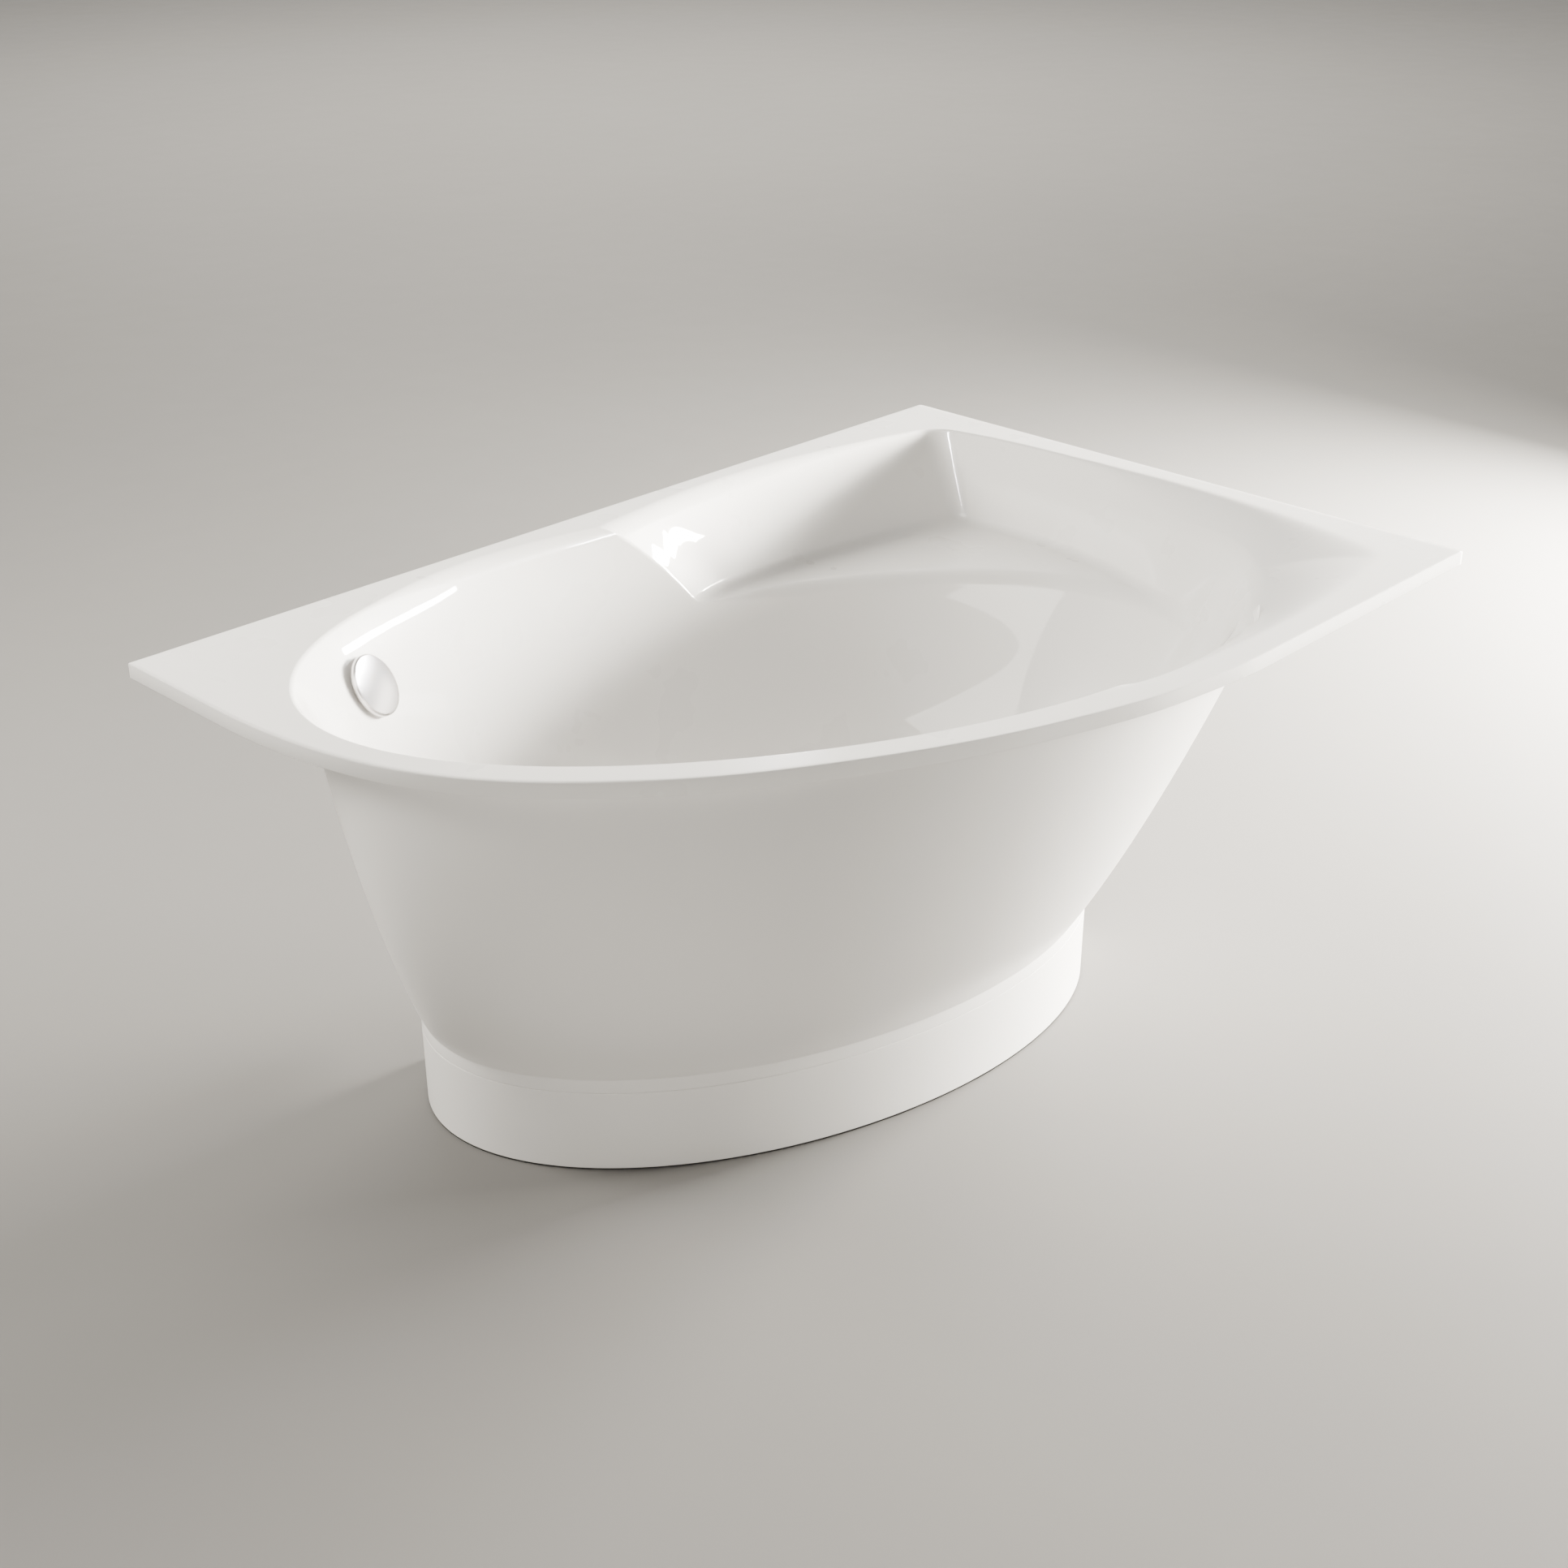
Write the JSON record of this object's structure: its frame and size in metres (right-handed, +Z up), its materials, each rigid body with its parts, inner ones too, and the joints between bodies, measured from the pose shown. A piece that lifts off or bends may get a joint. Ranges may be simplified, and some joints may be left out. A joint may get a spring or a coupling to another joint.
{
  "type": "corner bathtub",
  "caption": "Corner bathtub with an oval basin, a lower corner ledge, a sloping head-end shoulder and a flared front skirt on an oval plinth; pop-up waste worked from the overflow cap.",
  "frame": {"origin": "on the floor under the centre of the rim's 1500 x 1000 mm outline", "axes": "+X along the long wall side towards the room corner, +Y towards the long wall, +Z up"},
  "size_m": [1.5, 1, 0.62],
  "materials": {
    "acrylic_tub": "glossy sanitary acrylic",
    "acrylic_skirt": "semi-gloss acrylic",
    "acrylic_plinth": "semi-gloss acrylic",
    "dark_rubber": "matt",
    "grey_plastic": "matt",
    "board": "raw pressed board",
    "galvanised": "galvanised sheet",
    "zinc": "bright zinc",
    "satin_chrome": "satin chrome",
    "brass": "turned",
    "white_plastic": "moulded",
    "hose_plastic": "flexible corrugated",
    "black_plastic": "moulded"
  },
  "bodies": {
    "root": {"tub_shell": "acrylic_tub", "front_skirt": "acrylic_skirt", "plinth_ring": "acrylic_plinth", "plinth_foot_seal": "dark_rubber", "skirt_clips": "grey_plastic", "plinth_clips": "grey_plastic", "bottom_board": "board", "foot_end_rail": "galvanised", "head_end_rail": "galvanised", "rail_screws": "zinc", "leg_nuts": "zinc", "foot_lock_nuts": "zinc", "rim_batten_long": "board", "rim_batten_short": "board", "wall_bracket_left": "galvanised", "wall_bracket_right": "galvanised", "wall_bracket_short": "galvanised", "bracket_screws": "zinc", "overflow_face_ring": "satin_chrome", "overflow_gasket": "dark_rubber", "overflow_elbow": "white_plastic", "overflow_hose": "hose_plastic", "hose_nuts": "white_plastic", "bowden_cable": "black_plastic", "cable_clips": "grey_plastic", "waste_flange": "satin_chrome", "waste_gasket": "dark_rubber", "waste_body": "white_plastic", "rocker_pin": "brass", "trap_body": "white_plastic", "outlet_pipe": "white_plastic", "trap_nuts": "white_plastic"},
    "knob": {"overflow_knob": "satin_chrome", "overflow_spindle": "brass"},
    "plug": {"plug_stem": "brass", "plug_cap": "satin_chrome", "plug_seal": "dark_rubber"},
    "rocker": {"rocker_lever": "brass"},
    "foot_1": {"leg_stud_1": "zinc", "foot_pad_1": "black_plastic"},
    "foot_2": {"leg_stud_2": "zinc", "foot_pad_2": "black_plastic"},
    "foot_3": {"leg_stud_3": "zinc", "foot_pad_3": "black_plastic"},
    "foot_4": {"leg_stud_4": "zinc", "foot_pad_4": "black_plastic"}
  },
  "joints": [
    {"name": "knob_turn", "type": "hinge", "parent": "root", "child": "knob", "pos_m": [-0.4935, 0.3587, 0.5468], "axis": [0.388, -0.7781, 0.494], "range_deg": [0, 90]},
    {"name": "plug_lift", "type": "slide", "parent": "root", "child": "plug", "axis": [0, 0, 1], "range_m": [0, 0.0075]},
    {"name": "rocker_swing", "type": "hinge", "parent": "root", "child": "rocker", "pos_m": [-0.4, 0.1, 0.1475], "axis": [0, -1, 0], "range_deg": [0, 22]},
    {"name": "foot_spin_1", "type": "hinge", "parent": "root", "child": "foot_1", "pos_m": [-0.23, -0.125, 0.05], "axis": [0, 0, 1], "continuous": true},
    {"name": "foot_spin_2", "type": "hinge", "parent": "root", "child": "foot_2", "pos_m": [-0.23, 0.205, 0.05], "axis": [0, 0, 1], "continuous": true},
    {"name": "foot_spin_3", "type": "hinge", "parent": "root", "child": "foot_3", "pos_m": [0.17, -0.15, 0.05], "axis": [0, 0, 1], "continuous": true},
    {"name": "foot_spin_4", "type": "hinge", "parent": "root", "child": "foot_4", "pos_m": [0.17, 0.125, 0.05], "axis": [0, 0, 1], "continuous": true}
  ],
  "couplings": [
    {"joint": "plug_lift", "follows": "knob_turn", "m_per_rad": 0.0047745},
    {"joint": "rocker_swing", "follows": "knob_turn", "ratio": 0.24444}
  ]
}
